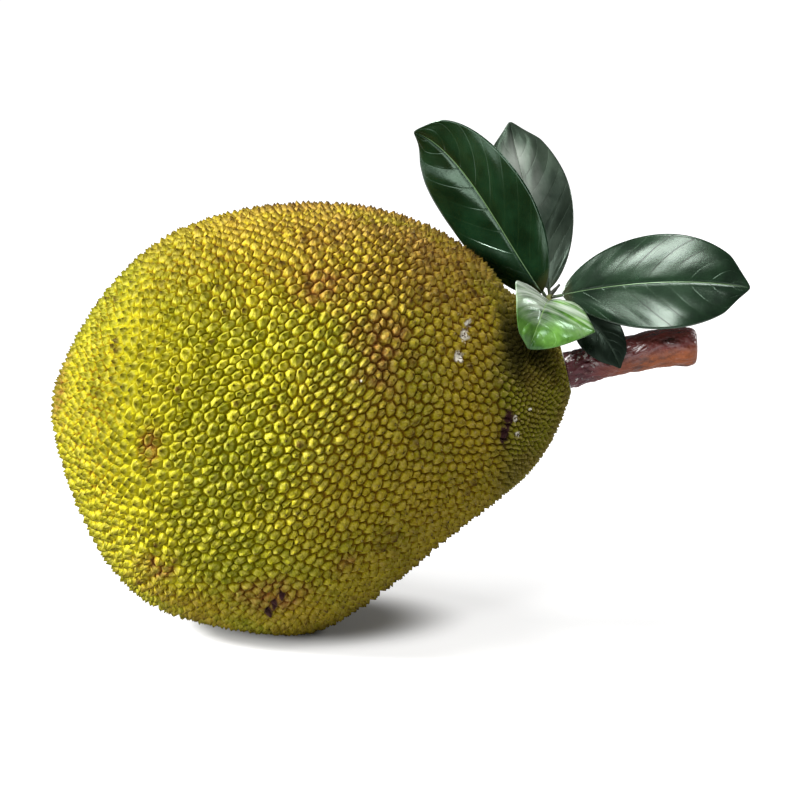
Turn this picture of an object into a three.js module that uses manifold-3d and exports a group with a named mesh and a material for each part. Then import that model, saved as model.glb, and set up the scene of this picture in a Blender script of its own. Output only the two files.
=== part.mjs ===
// A whole jackfruit, as picked: the spiny fruit lies on its side with its cut stalk and a short
// leafy twig at one end. Millimetres, +Z up, +X from the blossom end towards the stalk.
// The origin is the middle of the small worn spot that the fruit rests on.
import * as THREE from "three";
import { ConvexHull } from "three/addons/math/ConvexHull.js";
import { mergeVertices } from "three/addons/utils/BufferGeometryUtils.js";
import Module from "manifold-3d";

const wasm = await Module();
wasm.setup();

// ---------------------------------------------------------------- driving dimensions

const gap = 0.3; // clear space left between two pieces that touch
const goldenAngle = Math.PI * (3 - Math.sqrt(5));

// The fruit's outline through its spine tips, as short series in the angle t that runs from 0
// at the blossom end to PI at the stalk end.
const fruit = {
  blossomX: -142.8,
  length: 324.6,
  girth: [126.2, 11.9, -7.3, -0.8, -1.9, -2, -1.3, 0.3], // radius: the sine terms of t, 2t and on
  rise: [140.9, -13.4, 4.1, 4.8, 1.3, -0.1, 2.3, -0.8], // middle line: the cosine terms of 0, t and on
  depthShare: 0.985, // front-to-back radius over the upright one
  lump: 1.4, // the rind's broad unevenness
};

// The furrow between shoulder and neck: steep on the shoulder's side (the width before x) and wider
// on the neck's. It is deepest on the upper front, and only a share of it goes on underneath.
const furrow = {
  x: 141.5,
  before: 5.5,
  front: { depth: 10, after: 16 },
  back: { depth: 5, after: 6 },
  under: 0.1,
};
const belly = { x: 19, depth: 4.6, width: 36 }; // the underside's fullness where the fruit lies

// Spines keep only a share of their height round the origin, where the fruit rests, and round the
// stalk's flat seat on the end of the neck. They have their full height past the outer radius.
const restSpot = { inner: 18, outer: 58, share: 0.25 };
const seat = { inner: 13.5, outer: 24, share: 0.2 };

const spines = {
  count: 1800,
  height: 4.2,
  neckShare: 0.62, // pitch and height on the neck over those on the body
  neckFade: 14, // length over which they change
  jitter: 0.16, // random shift of a spine, as a share of the pitch
  lean: 0.1, // random shift of its tip, as a share of its height
  uneven: 0.8, // the most by which a tip falls short of the outline
};

const stalk = {
  sides: 14,
  path: [
    [177.4, 0, 162.6],
    [186.5, 0, 164.8],
    [201.9, -0.5, 169.2],
    [219.1, -0.5, 173.6],
    [237.7, 0.5, 176.9],
    [257.4, 0, 177.3],
  ],
  radii: [11.4, 10.7, 10.9, 11.7, 12.2],
  rings: 28,
  knurl: 0.5,
  endRound: 4.6, // how far the cut end's rim is rounded in, over the last part of the length
  endShare: 0.07,
};

const twig = {
  sides: 8,
  path: [
    [194, 2, 172],
    [188, 3, 184],
    [178.5, 4, 194],
    [169, 4, 202],
    [166.5, 3.5, 207],
    [173, 3, 216],
  ],
  radii: [3.4, 3.1, 2.7, 2.6, 1.9, 0.7],
  rings: 12,
};

// Each leaf hangs on a curve: base on the twig, two handles and the tip. `across` is the way
// from the midrib to the right-hand margin. A pair is for the left and the right half: its full
// width, a `peak` above 1 that moves its widest part towards the tip, and how far its margin
// arches down, as a share of its width. `fold` is the rise of both halves from the midrib in
// degrees, and `petiole` the share of the curve with no blade. A `corner` makes the left half come
// to a point at `place` along it, with sides bowed by `power`.
const leafThickness = 0.9;
const rib = { sides: 6, rings: 9, baseRadius: 1.45, tipRadius: 0.55, reach: 0.94, lowered: 0.5 };
const leaves = [
  {
    name: "leaf_upper_left",
    base: [165.2, 4.6, 206.8],
    handles: [[141.8, 24, 234.4], [113.9, 46, 296.9]],
    tip: [83.3, 50, 305],
    across: [0.78, -0.6, 0.46],
    halfWidth: [33, 36],
    peak: [1.04, 0.9],
    fold: 12,
    arch: [0.2, 0.12],
    petiole: 0.04,
    colour: 0x1f3f24,
  },
  {
    name: "leaf_upper_back",
    base: [167.2, 6.6, 208.4],
    handles: [[164, 34, 239.3], [150.4, 60, 273.9]],
    tip: [144, 66, 309.9],
    across: [0.9, 0.1, 0.1],
    halfWidth: [24, 27.5],
    peak: [1.1, 1.18],
    fold: 8,
    arch: [0.12, 0.12],
    petiole: 0.04,
    colour: 0x3a4a3a,
  },
  {
    name: "leaf_right",
    base: [168, 2.5, 208],
    handles: [[203.3, -6, 218.2], [251.9, -10, 223.1]],
    tip: [288.5, -12, 216],
    across: [0.05, -0.45, -0.95],
    halfWidth: [31, 31],
    peak: [1.1, 1.1],
    fold: 10,
    arch: [0.12, 0.12],
    petiole: 0.06,
    colour: 0x2d4a30,
  },
  {
    name: "leaf_hanging",
    base: [172, 2.6, 200.5],
    handles: [[187.5, -4, 201], [200.5, -17, 190.3]],
    tip: [209.2, -19.5, 167.6],
    across: [-0.75, 0, -0.6],
    halfWidth: [13, 15],
    peak: [1.15, 1.15],
    fold: 8,
    arch: [0.12, 0.12],
    petiole: 0.12,
    colour: 0x16241a,
  },
  {
    name: "leaf_young",
    base: [166.5, 1.5, 204],
    handles: [[165.3, -30, 217], [158.1, -58, 205]],
    tip: [151.7, -56, 185.9],
    across: [-0.94, -0.1, 0.3],
    halfWidth: [36, 24],
    peak: [1.45, 0.6],
    fold: 24,
    arch: [0.12, 0.12],
    petiole: 0.08,
    corner: { place: 0.62, power: 0.73 },
    colour: 0x5c9440,
  },
];

// ---------------------------------------------------------------- small tools

const solidOf = (geometry) => {
  const bare = new THREE.BufferGeometry();
  bare.setAttribute("position", geometry.getAttribute("position"));
  bare.setIndex(geometry.getIndex());
  const merged = mergeVertices(bare, 1e-4);
  return new wasm.Manifold(
    new wasm.Mesh({
      numProp: 3,
      vertProperties: merged.getAttribute("position").array,
      triVerts: new Uint32Array(merged.index.array),
    }),
  );
};

const geometryOf = (solid) => {
  const mesh = solid.getMesh();
  const geometry = new THREE.BufferGeometry();
  geometry.setAttribute("position", new THREE.BufferAttribute(new Float32Array(mesh.vertProperties), 3));
  geometry.setIndex(new THREE.BufferAttribute(new Uint32Array(mesh.triVerts), 1));
  return geometry;
};

const geometryFrom = (points, triangles) => {
  const geometry = new THREE.BufferGeometry();
  geometry.setAttribute("position", new THREE.Float32BufferAttribute(points.flatMap((p) => p.toArray()), 3));
  geometry.setIndex(triangles);
  return geometry;
};

const smooth = (low, high, value) => THREE.MathUtils.smoothstep(value, low, high);

// A bell curve of height 1 along the fruit.
const bell = (x, shape) => Math.exp(-(((x - shape.x) / shape.width) ** 2));

// A repeatable random number from -1 to 1 for a counter and a channel.
const draw = (i, channel) => {
  const s = Math.sin(i * 12.9898 + channel * 78.233) * 43758.5453;
  return 2 * (s - Math.floor(s)) - 1;
};

// Where a rising list of numbers reaches a value, as a share of the list's length.
const reach = (list, value) => {
  let low = 0;
  let high = list.length - 1;
  while (high - low > 1) {
    const middle = (low + high) >> 1;
    if (list[middle] < value) low = middle;
    else high = middle;
  }
  const part = (value - list[low]) / (list[high] - list[low]);
  return (low + THREE.MathUtils.clamp(part, 0, 1)) / (list.length - 1);
};

// A round bar along a smooth curve, closed at both ends. radiusAt(u, angle) gives its radius.
const bar = (curve, sides, rings, radiusAt) => {
  const points = [];
  const triangles = [];
  const up = new THREE.Vector3(0, 1, 0);
  for (let i = 0; i <= rings; i++) {
    const u = i / rings;
    const middle = curve.getPoint(u);
    const along = curve.getTangent(u);
    const side = new THREE.Vector3().crossVectors(up, along).normalize();
    const other = new THREE.Vector3().crossVectors(along, side);
    for (let j = 0; j < sides; j++) {
      const angle = (j / sides) * 2 * Math.PI;
      const radius = radiusAt(u, angle);
      points.push(
        middle
          .clone()
          .addScaledVector(side, radius * Math.cos(angle))
          .addScaledVector(other, radius * Math.sin(angle)),
      );
    }
  }
  const at = (i, j) => i * sides + (j % sides);
  for (let i = 0; i < rings; i++) {
    for (let j = 0; j < sides; j++) {
      triangles.push(at(i, j), at(i, j + 1), at(i + 1, j + 1));
      triangles.push(at(i, j), at(i + 1, j + 1), at(i + 1, j));
    }
  }
  for (let j = 1; j < sides - 1; j++) {
    triangles.push(at(0, 0), at(0, j + 1), at(0, j));
    triangles.push(at(rings, 0), at(rings, j), at(rings, j + 1));
  }
  return geometryFrom(points, triangles);
};

const smoothCurve = (path) => new THREE.CatmullRomCurve3(path.map((p) => new THREE.Vector3(...p)));

// The value at u of a list spaced evenly along a curve.
const valueAt = (list, u) => {
  const place = u * (list.length - 1);
  const i = Math.min(Math.floor(place), list.length - 2);
  return THREE.MathUtils.lerp(list[i], list[i + 1], place - i);
};

// ---------------------------------------------------------------- the fruit's smooth form

const axisX = (t) => fruit.blossomX + (fruit.length * (1 - Math.cos(t))) / 2;

const radiusOf = (t) => fruit.girth.reduce((sum, g, k) => sum + g * Math.sin((k + 1) * t), 0);

const furrowDepth = (x, angle) => {
  const behind = smooth(-0.4, 0.05, Math.sin(angle));
  const above = THREE.MathUtils.lerp(furrow.under, 1, smooth(0.2, 0.6, Math.cos(angle)));
  const depth = above * THREE.MathUtils.lerp(furrow.front.depth, furrow.back.depth, behind);
  const after = THREE.MathUtils.lerp(furrow.front.after, furrow.back.after, behind);
  return depth * bell(x, { x: furrow.x, width: x < furrow.x ? furrow.before : after });
};

const formPoint = (t, angle) => {
  const lumps =
    fruit.lump * Math.sin(t) * (Math.sin(3 * angle + 2 * t) + 0.7 * Math.sin(2 * angle - 5 * t + 1));
  const under = Math.max(0, -Math.cos(angle)) ** 4 * bell(axisX(t), belly);
  const radius =
    radiusOf(t) - furrowDepth(axisX(t), angle) + lumps * (1 - under) + belly.depth * under;
  const middle = fruit.rise.reduce((sum, r, k) => sum + r * Math.cos(k * t), 0);
  return new THREE.Vector3(
    axisX(t),
    fruit.depthShare * radius * Math.sin(angle),
    middle + radius * Math.cos(angle),
  );
};

const formNormal = (t, angle) => {
  const step = 1e-3;
  const inner = THREE.MathUtils.clamp(t, step * 2, Math.PI - step * 2);
  const dt = formPoint(inner + step, angle).sub(formPoint(inner - step, angle));
  const da = formPoint(inner, angle + step).sub(formPoint(inner, angle - step));
  return dt.cross(da).normalize();
};

// ---------------------------------------------------------------- spines on the rind

const stalkCurve = smoothCurve(stalk.path);
const seatNormal = stalkCurve.getTangent(0);
const seatMiddle = stalkCurve.getPoint(0);

// Pitch and height of the spines over those on the body, at a place along the axis.
const spineScale = (x) => {
  const neck = smooth(furrow.x - spines.neckFade / 2, furrow.x + spines.neckFade / 2, x);
  return THREE.MathUtils.lerp(1, spines.neckShare, neck);
};

// Presses a point flat on the surface that the fruit rests on, and on the stalk's seat.
const pressed = (point) => {
  point.z = Math.max(point.z, 0);
  const past = point.clone().sub(seatMiddle).dot(seatNormal);
  return past > 0 ? point.addScaledVector(seatNormal, -past) : point;
};

// How much of its height a spine keeps: less where the fruit rests and round the stalk.
const kept = (point) =>
  THREE.MathUtils.lerp(restSpot.share, 1, smooth(restSpot.inner, restSpot.outer, point.length())) *
  THREE.MathUtils.lerp(seat.share, 1, smooth(seat.inner, seat.outer, point.distanceTo(seatMiddle)));

// Sums along the outline, from the blossom end: how many spines fit, and the stretch that maps
// the rind onto a ball without shearing its cells.
const outlineSums = () => {
  const steps = 3000;
  const fitted = [0];
  const stretch = [0];
  for (let i = 1; i <= steps; i++) {
    const t = ((i - 0.5) / steps) * Math.PI;
    const half = (0.5 * Math.PI) / steps;
    const radius = radiusOf(t);
    const length = Math.hypot(axisX(t + half) - axisX(t - half), radiusOf(t + half) - radiusOf(t - half));
    fitted.push(fitted[i - 1] + (radius * length) / spineScale(axisX(t)) ** 2);
    stretch.push(stretch[i - 1] + length / radius);
  }
  return { fitted, stretch, middle: stretch[steps / 2] };
};

const sums = outlineSums();

const onBall = (t, angle) => {
  const place = (t / Math.PI) * (sums.stretch.length - 1);
  const i = Math.min(Math.floor(place), sums.stretch.length - 2);
  const stretched = THREE.MathUtils.lerp(sums.stretch[i], sums.stretch[i + 1], place - i);
  const polar = 2 * Math.atan(Math.exp(stretched - sums.middle));
  return new THREE.Vector3(
    -Math.cos(polar),
    Math.sin(polar) * Math.sin(angle),
    Math.sin(polar) * Math.cos(angle),
  );
};

const offBall = (vector) => {
  const v = vector.clone().normalize();
  const polar = Math.acos(THREE.MathUtils.clamp(-v.x, -0.999999, 0.999999));
  const stretched = Math.log(Math.tan(polar / 2)) + sums.middle;
  return { t: reach(sums.stretch, stretched) * Math.PI, angle: Math.atan2(v.y, v.z) };
};

// One place on the ball for each spine, on a golden-angle spiral with a seeded shift.
const spineSites = () => {
  const total = sums.fitted[sums.fitted.length - 1];
  const sites = [];
  for (let i = 0; i < spines.count; i++) {
    const t = reach(sums.fitted, (total * (i + 0.5)) / spines.count) * Math.PI;
    const site = onBall(t, i * goldenAngle);
    const shift = spines.jitter * Math.sqrt((4 * Math.PI) / spines.count) * Math.hypot(site.y, site.z);
    site.x += shift * draw(i, 1);
    site.y += shift * draw(i, 2);
    site.z += shift * draw(i, 3);
    sites.push(site.normalize());
  }
  return sites;
};

// The rind: a blunt pyramid over each site, whose foot is the ring of middles of the triangles
// that meet at the site. All feet lie in the valleys, so the pyramids cover the fruit.
const fruitGeometry = () => {
  const sites = spineSites();
  const hull = new ConvexHull().setFromPoints(sites);
  const number = new Map(sites.map((site, i) => [site, i]));
  const points = sites.map((site, i) => {
    const { t, angle } = offBall(site);
    const outward = formNormal(t, angle);
    const point = formPoint(t, angle);
    const lean = new THREE.Vector3(draw(i, 4), draw(i, 5), draw(i, 6));
    lean.addScaledVector(outward, -lean.dot(outward));
    const scale = spineScale(point.x) * kept(point);
    point.addScaledVector(outward, (-spines.uneven / 2) * (1 + draw(i, 7)) * scale);
    return pressed(point.addScaledVector(lean, spines.lean * spines.height * scale));
  });
  const valleyOf = new Map();
  for (const face of hull.faces) {
    const corners = [face.edge.tail().point, face.edge.head().point, face.edge.next.head().point];
    const middle = corners.reduce((sum, c) => sum.add(c), new THREE.Vector3());
    const { t, angle } = offBall(middle);
    const point = formPoint(t, angle);
    const depth = spines.height * spineScale(point.x) * kept(point);
    valleyOf.set(face, points.length);
    points.push(pressed(point.addScaledVector(formNormal(t, angle), -depth)));
  }
  const triangles = [];
  for (const face of hull.faces) {
    let edge = face.edge;
    for (let k = 0; k < 3; k++) {
      const tip = number.get(edge.head().point);
      triangles.push(tip, valleyOf.get(face), valleyOf.get(edge.twin.face));
      edge = edge.next;
    }
  }
  return geometryFrom(points, triangles);
};

// ---------------------------------------------------------------- stalk and twig

// The stalk's radius, with shallow knurls, and rounded off at its cut end.
const stalkRadius = (u, angle) => {
  const knurls = stalk.knurl * Math.sin(3 * angle + 14 * u) * Math.sin(23 * u + 2 * angle);
  const past = Math.max(0, (u - 1 + stalk.endShare) / stalk.endShare);
  const rounding = stalk.endRound * (1 - Math.sqrt(Math.max(0, 1 - past * past)));
  return valueAt(stalk.radii, u) + knurls * smooth(0, 0.1, u) - rounding;
};

const stalkSolid = (extra) => {
  const rod = bar(stalkCurve, stalk.sides, stalk.rings, (u, angle) => stalkRadius(u, angle) + extra);
  return solidOf(rod.translate(...seatNormal.clone().multiplyScalar(gap - extra).toArray()));
};

const twigSolid = (extra) =>
  solidOf(bar(smoothCurve(twig.path), twig.sides, twig.rings, (u) => valueAt(twig.radii, u) + extra));

// ---------------------------------------------------------------- leaves

const leafCurve = (leaf) =>
  new THREE.CubicBezierCurve3(...[leaf.base, ...leaf.handles, leaf.tip].map((p) => new THREE.Vector3(...p)));

// A leaf's directions at s along its midrib: along it, across it and out of its upper face.
const leafFrame = (leaf, s) => {
  const tangent = leafCurve(leaf).getTangent(s);
  const across = new THREE.Vector3(...leaf.across);
  across.addScaledVector(tangent, -across.dot(tangent)).normalize();
  return { across, out: new THREE.Vector3().crossVectors(across, tangent) };
};

// The share of its full width that a half leaf has at u, from its base to its drawn-out tip. Side 0
// is the left half and 1 the right one.
const leafOutline = (leaf, side, u) => {
  if (leaf.corner && side === 0) {
    const { place, power } = leaf.corner;
    return Math.min(u / place, (1 - u) / (1 - place)) ** power;
  }
  const oval = Math.max(0, Math.sin(Math.PI * u ** leaf.peak[side])) ** 0.6;
  return oval * (1 - 0.4 * smooth(0.86, 1, u));
};

// A point of the blade's middle surface: both halves rise from the midrib, and the margins wave.
const bladePoint = (leaf, u, v) => {
  const s = leaf.petiole + (1 - leaf.petiole) * u;
  const { across, out } = leafFrame(leaf, s);
  const fold = THREE.MathUtils.degToRad(leaf.fold);
  const side = v < 0 ? 0 : 1;
  const half = Math.max(leaf.halfWidth[side] * leafOutline(leaf, side, u), 0.8);
  const wave = 0.035 * half * Math.sin(9 * u + 1 + 2 * side) * v * v;
  const arch = -leaf.arch[side] * half * v * v;
  return leafCurve(leaf)
    .getPoint(s)
    .addScaledVector(across, half * v * Math.cos(fold))
    .addScaledVector(out, half * Math.abs(v) * Math.sin(fold) + wave + arch);
};

// The blade: a thin closed sheet, split into triangles alike on both faces.
const bladeGeometry = (leaf, lengthSteps = 12, widthSteps = 4) => {
  const points = [];
  const triangles = [];
  const row = widthSteps + 1;
  const face = (lengthSteps + 1) * row;
  for (const side of [0.5, -0.5]) {
    for (let i = 0; i <= lengthSteps; i++) {
      const u = i / lengthSteps;
      const { out } = leafFrame(leaf, leaf.petiole + (1 - leaf.petiole) * u);
      for (let j = 0; j <= widthSteps; j++) {
        const point = bladePoint(leaf, u, (2 * j) / widthSteps - 1);
        points.push(point.addScaledVector(out, side * leafThickness));
      }
    }
  }
  const quad = (a, b, c, d) => triangles.push(a, b, c, a, c, d);
  for (let i = 0; i < lengthSteps; i++) {
    for (let j = 0; j < widthSteps; j++) {
      const a = i * row + j;
      quad(a, a + 1, a + 1 + row, a + row);
      triangles.push(face + a, face + a + 1 + row, face + a + 1);
      triangles.push(face + a, face + a + row, face + a + 1 + row);
    }
    const left = i * row;
    const right = left + widthSteps;
    quad(left, left + row, face + left + row, face + left);
    quad(right, face + right, face + right + row, right + row);
  }
  for (let j = 0; j < widthSteps; j++) {
    const last = lengthSteps * row + j;
    quad(j, face + j, face + j + 1, j + 1);
    quad(last, last + 1, face + last + 1, face + last);
  }
  return geometryFrom(points, triangles);
};

// A leaf with its petiole and raised midrib, cut clear of the twig that it grows from.
const leafSolid = (leaf) => {
  const curve = leafCurve(leaf);
  const ribCurve = {
    getPoint: (u) => {
      const s = u * rib.reach;
      const drop = -rib.lowered * smooth(0, leaf.petiole, u);
      return curve.getPoint(s).addScaledVector(leafFrame(leaf, s).out, drop);
    },
    getTangent: (u) => curve.getTangent(u * rib.reach),
  };
  const ribRadius = (u) => THREE.MathUtils.lerp(rib.baseRadius, rib.tipRadius, Math.sqrt(u));
  return solidOf(bladeGeometry(leaf))
    .add(solidOf(bar(ribCurve, rib.sides, rib.rings, ribRadius)))
    .subtract(twigSolid(gap));
};

// ---------------------------------------------------------------- the object

const named = (name, geometry, colour, roughness) => {
  const material = new THREE.MeshStandardMaterial({ color: colour, roughness, metalness: 0 });
  const mesh = new THREE.Mesh(geometry, material);
  mesh.name = name;
  return mesh;
};

const jackfruit = new THREE.Group();
jackfruit.add(named("fruit", fruitGeometry(), 0x9a9a26, 0.6));
jackfruit.add(named("stalk", geometryOf(stalkSolid(0)), 0x6b3a30, 0.45));
jackfruit.add(named("twig", geometryOf(twigSolid(0).subtract(stalkSolid(gap))), 0x6f7a3a, 0.6));
for (const leaf of leaves) {
  jackfruit.add(named(leaf.name, geometryOf(leafSolid(leaf)), leaf.colour, 0.35));
}

export default jackfruit;
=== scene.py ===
import math

import bpy
import numpy as np
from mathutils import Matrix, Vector


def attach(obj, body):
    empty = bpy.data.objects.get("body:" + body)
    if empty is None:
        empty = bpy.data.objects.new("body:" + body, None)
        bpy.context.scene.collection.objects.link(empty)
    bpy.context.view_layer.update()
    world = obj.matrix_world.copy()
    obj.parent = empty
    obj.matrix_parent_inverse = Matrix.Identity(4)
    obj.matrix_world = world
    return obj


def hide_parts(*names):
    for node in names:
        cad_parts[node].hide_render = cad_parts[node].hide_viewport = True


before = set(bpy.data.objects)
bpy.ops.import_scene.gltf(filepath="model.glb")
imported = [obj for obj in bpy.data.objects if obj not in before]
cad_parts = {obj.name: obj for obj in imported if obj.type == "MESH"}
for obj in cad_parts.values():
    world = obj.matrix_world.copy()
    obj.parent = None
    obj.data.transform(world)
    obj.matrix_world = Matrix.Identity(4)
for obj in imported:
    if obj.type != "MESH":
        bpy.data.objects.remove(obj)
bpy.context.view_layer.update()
scene = bpy.context.scene
print("frame loaded:", sorted(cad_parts))

metresPerMm = 0.001
goldenAngle = math.pi * (3 - math.sqrt(5))
random = np.random.default_rng(41)


def smoothStep(low, high, value):
    # 3s^2 - 2s^3, with s the share of the way from low to high
    s = np.clip((value - low) / (high - low), 0, 1)
    return s * s * (3 - 2 * s)


def bell(x, place, width):
    # exp(-((x - place) / width)^2)
    return np.exp(-(((x - place) / width) ** 2))


def blend(a, b, share):
    # a + (b - a) share
    return a + (b - a) * share


def unit(v):
    # v over its own length
    return v / np.linalg.norm(v, axis=-1, keepdims=True)


def dot(a, b):
    # ax bx + ay by + az bz, kept as a column
    return np.sum(a * b, axis=-1, keepdims=True)


def smoothPath(points, u):
    # centripetal Catmull-Rom through the points: on each stretch a cubic c0 + c1 w + c2 w^2 + c3 w^3
    # whose end slopes come from the square roots of the distances to the points on both sides
    p = np.array(points, float)
    p = np.vstack([2 * p[0] - p[1], p, 2 * p[-1] - p[-2]])
    place = np.clip(u, 0, 1) * (len(points) - 1)
    i = np.minimum(place.astype(int), len(points) - 2)
    w = (place - i)[:, None]
    p0, p1, p2, p3 = p[i], p[i + 1], p[i + 2], p[i + 3]
    steps = (p1 - p0, p2 - p1, p3 - p2)
    d0, d1, d2 = (np.sqrt(np.linalg.norm(step, axis=1, keepdims=True)) for step in steps)
    slope1 = ((p1 - p0) / d0 - (p2 - p0) / (d0 + d1) + (p2 - p1) / d1) * d1
    slope2 = ((p2 - p1) / d1 - (p3 - p1) / (d1 + d2) + (p3 - p2) / d2) * d1
    c2 = 3 * (p2 - p1) - 2 * slope1 - slope2
    c3 = 2 * (p1 - p2) + slope1 + slope2
    return p1 + slope1 * w + c2 * w ** 2 + c3 * w ** 3


def slopesOf(points):
    # unit central differences along a row of points
    return unit(np.gradient(points, axis=0))


def makePiece(name, points, triangles, material, node, fields=None, uv=None, sharp=None):
    # points in mm as an (n, 3) array, triangles as an (m, 3) array of their numbers
    mesh = bpy.data.meshes.new(name)
    mesh.vertices.add(len(points))
    mesh.vertices.foreach_set("co", (points * metresPerMm).astype(np.float32).ravel())
    corners = triangles.astype(np.int32).ravel()
    mesh.loops.add(len(corners))
    mesh.loops.foreach_set("vertex_index", corners)
    mesh.polygons.add(len(triangles))
    mesh.polygons.foreach_set("loop_start", np.arange(0, len(corners), 3, dtype=np.int32))
    mesh.update(calc_edges=True)
    if uv is not None:
        layer = mesh.uv_layers.new(name="UVMap")
        layer.data.foreach_set("uv", uv[corners].astype(np.float32).ravel())
    for field, values in (fields or {}).items():
        made = mesh.attributes.new(field, "FLOAT", "POINT")
        made.data.foreach_set("value", values.astype(np.float32))
    mesh.polygons.foreach_set("use_smooth", np.ones(len(triangles), bool))
    if sharp is not None:
        ends = np.empty(2 * len(mesh.edges), np.int32)
        mesh.edges.foreach_get("vertices", ends)
        marks = mesh.attributes.new("sharp_edge", "BOOLEAN", "EDGE")
        marks.data.foreach_set("value", sharp(ends.reshape(-1, 2)))
    mesh.materials.append(material)
    piece = bpy.data.objects.new(name, mesh)
    scene.collection.objects.link(piece)
    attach(piece, "root")
    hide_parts(node)
    print("made", name, "with", len(triangles), "triangles")
    return piece


def gridTriangles(rows, columns, closed=False):
    # each cell (i, j) of a grid as two triangles that share the corner (i, j)
    cells = np.arange(columns if closed else columns - 1)
    i, j = np.meshgrid(np.arange(rows - 1), cells, indexing="ij")
    a = i * columns + j
    b = i * columns + (j + 1) % columns
    c, d = b + columns, a + columns
    return np.stack([a, b, c, a, c, d], -1).reshape(-1, 3)


def tubeAlong(centres, along, radii, sides):
    # centre + r (side cos w + other sin w), with side square to the path and level with the Y axis,
    # closed at both ends by fans
    side = unit(np.cross([0, 1, 0], along))
    other = np.cross(along, side)
    w = np.arange(sides) / sides * 2 * math.pi
    ring = side[:, None] * np.cos(w)[None, :, None] + other[:, None] * np.sin(w)[None, :, None]
    points = (centres[:, None] + ring * radii(w)[..., None]).reshape(-1, 3)
    walls = gridTriangles(len(centres), sides, closed=True)
    first, last = len(points), len(points) + 1
    j = np.arange(sides)
    k = (j + 1) % sides
    end = (len(centres) - 1) * sides
    caps = np.vstack([
        np.stack([np.full(sides, first), k, j], -1),
        np.stack([np.full(sides, last), end + j, end + k], -1),
    ])
    return np.vstack([points, centres[0], centres[-1]]), np.vstack([walls, caps])


def wave(around, along, w, u):
    # sin(around w + along u) over a grid of u by w
    return np.sin(around * w[None] + along * u[:, None])


class Mask:
    # a value or colour that changes over a surface: sums, products and ramps of it make new nodes

    def __init__(self, paint, socket):
        self.paint = paint
        self.socket = socket

    def maths(self, operation, other=0):
        return self.paint.maths(operation, self, other)

    def __add__(self, other):
        return self.maths("ADD", other)

    def __sub__(self, other):
        return self.maths("SUBTRACT", other)

    def __rsub__(self, other):
        return self.paint.maths("SUBTRACT", other, self)

    def __mul__(self, other):
        return self.maths("MULTIPLY", other)

    def larger(self, other):
        return self.maths("MAXIMUM", other)

    def ramp(self, values, smooth=False):
        # from low..high to the last two, or to 0..1, clamped: a name stands for a ramp of the look
        low, high, *ends = self.paint.look["ramps"][values] if isinstance(values, str) else values
        toLow, toHigh = ends or (0, 1)
        inputs = {"Value": self, "From Min": low, "From Max": high, "To Min": toLow, "To Max": toHigh}
        kind = "SMOOTHSTEP" if smooth else "LINEAR"
        return self.paint.mask("ShaderNodeMapRange", inputs, "Result", interpolation_type=kind)

    def cover(self, over, share, kind="MIX"):
        # this colour under another one, which hides it where share is 1
        return self.paint.mix(share, self, over, kind)

    def layers(self, *pairs):
        # one colour over the other, each with its own share
        surface = self
        for over, share in pairs:
            surface = surface.cover(over, share)
        return surface


class Paint:
    # a node tree, with the look whose ramps, noises and colours are taken from it by name

    def __init__(self, tree, look=None):
        self.tree = tree
        self.look = look

    def node(self, kind, inputs=None, **settings):
        # inputs are values, masks or (red, green, blue), by socket name or number
        made = self.tree.nodes.new(kind)
        for key, value in settings.items():
            setattr(made, key, value)
        for key, value in (inputs or {}).items():
            if isinstance(value, Mask):
                self.tree.links.new(value.socket, made.inputs[key])
            elif made.inputs[key].type == "RGBA":
                made.inputs[key].default_value = (*value, 1)
            else:
                made.inputs[key].default_value = value
        return made

    def mask(self, kind, inputs=None, output=0, **settings):
        # one output of a new node
        return Mask(self, self.node(kind, inputs, **settings).outputs[output])

    def maths(self, operation, *values):
        return self.mask("ShaderNodeMath", dict(enumerate(values)), operation=operation)

    def vector(self, operation, *values):
        output = "Value" if operation == "LENGTH" else "Vector"
        inputs = dict(enumerate(values))
        return self.mask("ShaderNodeVectorMath", inputs, output, operation=operation)

    def apart(self, vector, *axes):
        # the parts of a vector along these axes
        outputs = self.node("ShaderNodeSeparateXYZ", {0: vector}).outputs
        return [Mask(self, outputs[axis]) for axis in axes]

    def attribute(self, name):
        return self.mask("ShaderNodeAttribute", output="Fac", attribute_name=name)

    def ray(self, kind):
        # 1 for camera rays, diffuse ones or mirrored ones
        return self.mask("ShaderNodeLightPath", output=f"Is {kind} Ray")

    def mix(self, share, a, b, kind="MIX"):
        # a gives way to b where share is 1: a name stands for a colour of the look
        a, b = (self.look[value] if isinstance(value, str) else value for value in (a, b))
        inputs = {0: share, 6: a, 7: b}
        return self.mask("ShaderNodeMix", inputs, 2, data_type="RGBA", blend_type=kind)

    def noise(self, values, vector=None):
        # by scale, detail and roughness: a name stands for a noise of the look
        scale, detail, roughness = self.look["noises"][values] if isinstance(values, str) else values
        inputs = {"Vector": vector or self.place, "Scale": scale, "Detail": detail}
        inputs["Roughness"] = roughness
        return self.mask("ShaderNodeTexNoise", inputs, "Fac")

    def blotch(self, vector, centre, size, **values):
        # one oval mark, by the shared group
        inputs = {"Vector": vector, "Centre": centre, "Size": size, **values}
        return self.mask("ShaderNodeGroup", inputs, "Mask", node_tree=blotchGroup)

    def marks(self, name):
        # the largest of the masks of the look's marks of this name
        edge, frayScale, spots = self.look[name]
        total = 0
        for centre, size, fray in spots:
            values = {"Edge": edge, "Fray": fray, "Fray Scale": frayScale}
            total = self.blotch(self.place, centre, size, **values).larger(total)
        return total

    def bump(self, height):
        # the look's bump is its strength and its distance in metres
        strength, distance = self.look["bump"]
        inputs = {"Height": height, "Strength": strength, "Distance": distance}
        return self.mask("ShaderNodeBump", inputs, "Normal")

    def finish(self, inputs):
        # a Principled shader with these inputs, wired to the output
        shader = self.mask("ShaderNodeBsdfPrincipled", inputs)
        self.node("ShaderNodeOutputMaterial", {"Surface": shader})


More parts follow.
